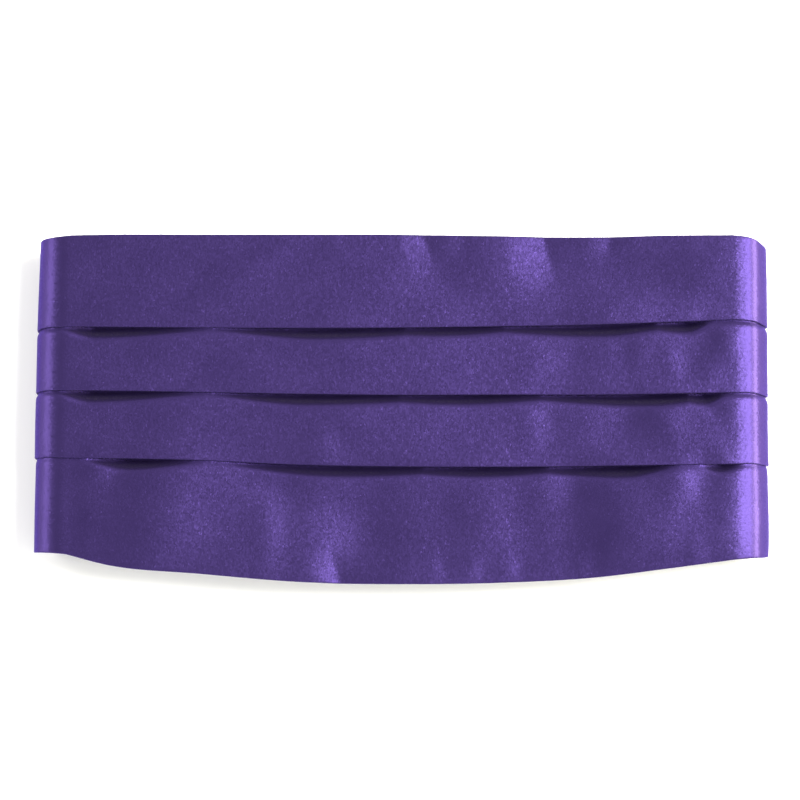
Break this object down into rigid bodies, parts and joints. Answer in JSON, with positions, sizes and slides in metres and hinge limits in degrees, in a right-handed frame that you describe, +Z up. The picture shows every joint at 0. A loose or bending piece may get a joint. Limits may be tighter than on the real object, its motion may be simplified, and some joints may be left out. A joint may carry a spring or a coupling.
{
  "type": "pleated satin cummerbund",
  "caption": "Pleated satin waist sash for formal wear, fastened into a loop by an elastic strap and clasp, and laid flat with its pleats up.",
  "frame": {"origin": "on the surface that it lies on, under the middle of its outline", "axes": "+X along the front, to the right as seen; +Y up the front's height, towards its top edge; +Z up from the surface"},
  "size_m": [0.266, 0.1271, 0.026],
  "materials": {
    "satin": "deep purple satin, soft sheen",
    "elastic": "ribbed matt elastic webbing",
    "metal": "satin nickel"
  },
  "bodies": {
    "root": {"pleat_1": "satin", "pleat_2": "satin", "pleat_3": "satin", "pleat_4": "satin", "left_end_tab": "satin", "right_end_tab": "satin", "left_strap": "elastic", "right_strap": "elastic", "clasp": "metal"}
  },
  "joints": []
}
